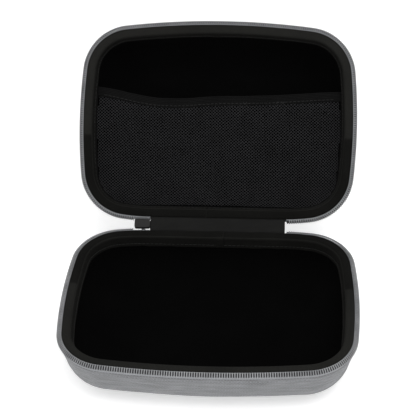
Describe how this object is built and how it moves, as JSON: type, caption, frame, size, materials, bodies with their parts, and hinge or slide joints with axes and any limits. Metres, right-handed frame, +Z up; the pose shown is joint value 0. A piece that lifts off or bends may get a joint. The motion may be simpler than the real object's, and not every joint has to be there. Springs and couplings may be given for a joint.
{
  "type": "headphone carrying case",
  "caption": "Moulded clamshell carrying case for headphones, with zipped rims, a fabric hinge, a soft lining and a mesh pocket in the lid",
  "frame": {"origin": "middle of the base's flat bottom, on the surface it rests on", "axes": "+Z up; +Y from the front rim towards the hinge, which runs along X; the lid is stored open as in use"},
  "size_m": [0.2, 0.2595, 0.1551],
  "materials": {
    "shell_fabric": "gray basket-weave polyester bonded to the foam",
    "shell_foam": "closed-cell moulded foam, hidden",
    "lining_fabric": "black brushed knit",
    "binding_fabric": "black knit turned over the rim",
    "gray_thread": "gray sewing thread",
    "black_thread": "black sewing thread",
    "zip_tape": "gray woven zip tape",
    "zip_coil": "gray moulded coil",
    "hinge_fabric": "dark woven hinge strip",
    "mesh_fabric": "black knitted net",
    "hem_elastic": "black ribbed elastic",
    "slider_metal": "dark gray matte paint"
  },
  "bodies": {
    "base": {"base_outer_cover": "shell_fabric", "base_foam_shell": "shell_foam", "base_lining": "lining_fabric", "base_edge_binding": "binding_fabric", "base_seam_thread": "gray_thread", "base_binding_thread": "black_thread", "base_zip_tape": "zip_tape", "base_zip_coil": "zip_coil", "hinge_outer_strip": "hinge_fabric", "hinge_inner_strip": "lining_fabric"},
    "lid": {"lid_outer_cover": "shell_fabric", "lid_foam_shell": "shell_foam", "lid_lining": "lining_fabric", "lid_edge_binding": "binding_fabric", "lid_seam_thread": "gray_thread", "lid_binding_thread": "black_thread", "lid_zip_tape": "zip_tape", "lid_zip_coil": "zip_coil", "pocket_edge_tape": "binding_fabric", "pocket_mesh": "mesh_fabric", "pocket_hem_band": "hem_elastic", "pocket_hem_thread": "black_thread"},
    "slider": {"zip_slider_body": "slider_metal"},
    "pull": {"zip_pull_tab": "slider_metal"}
  },
  "joints": [
    {"name": "lid_hinge", "type": "hinge", "parent": "base", "child": "lid", "pos_m": [0, 0.0738, 0.042], "axis": [-1, 0, 0], "range_deg": [-129.3, 50], "deforming": ["hinge_outer_strip", "hinge_inner_strip"]},
    {"name": "slider_tilt", "type": "hinge", "parent": "base", "child": "slider", "pos_m": [0, 0.0738, 0.042], "axis": [-1, 0, 0], "range_deg": [-64.65, 25]},
    {"name": "pull_swing", "type": "hinge", "parent": "slider", "child": "pull", "pos_m": [-0.0526, 0.07446, 0.0406], "axis": [0, -0.9037, -0.4282], "range_deg": [-65, 65]}
  ],
  "couplings": [
    {"joint": "slider_tilt", "follows": "lid_hinge", "ratio": 0.5}
  ]
}
